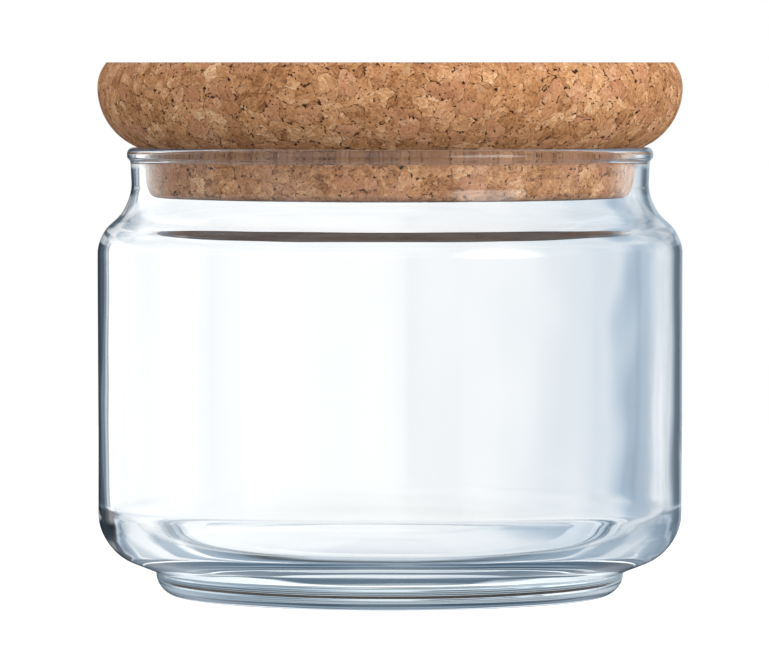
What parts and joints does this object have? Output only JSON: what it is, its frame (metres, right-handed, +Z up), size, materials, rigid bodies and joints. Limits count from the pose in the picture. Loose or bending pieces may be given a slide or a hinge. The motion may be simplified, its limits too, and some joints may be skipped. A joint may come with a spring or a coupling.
{
  "type": "glass jar with cork lid",
  "caption": "Squat round storage jar of clear glass with a rolled rim and a stepped foot, closed by a push-in cork lid that lifts off.",
  "frame": {"origin": "on the table plane, at the centre of the jar's standing ring", "axes": "+Z up along the jar's axis, through the middle of the cork lid; the jar is round, so +X and +Y are any two level directions at right angles"},
  "size_m": [0.103, 0.103, 0.0939],
  "materials": {
    "clear_glass": "gloss",
    "cork": "matt pressed cork granules"
  },
  "bodies": {
    "jar": {"glass_jar": "clear_glass"},
    "lid": {"cork_lid": "cork"}
  },
  "joints": [
    {"name": "lid_lift", "type": "slide", "parent": "jar", "child": "lid", "axis": [0, 0, 1], "range_m": [0, 0.025]}
  ]
}
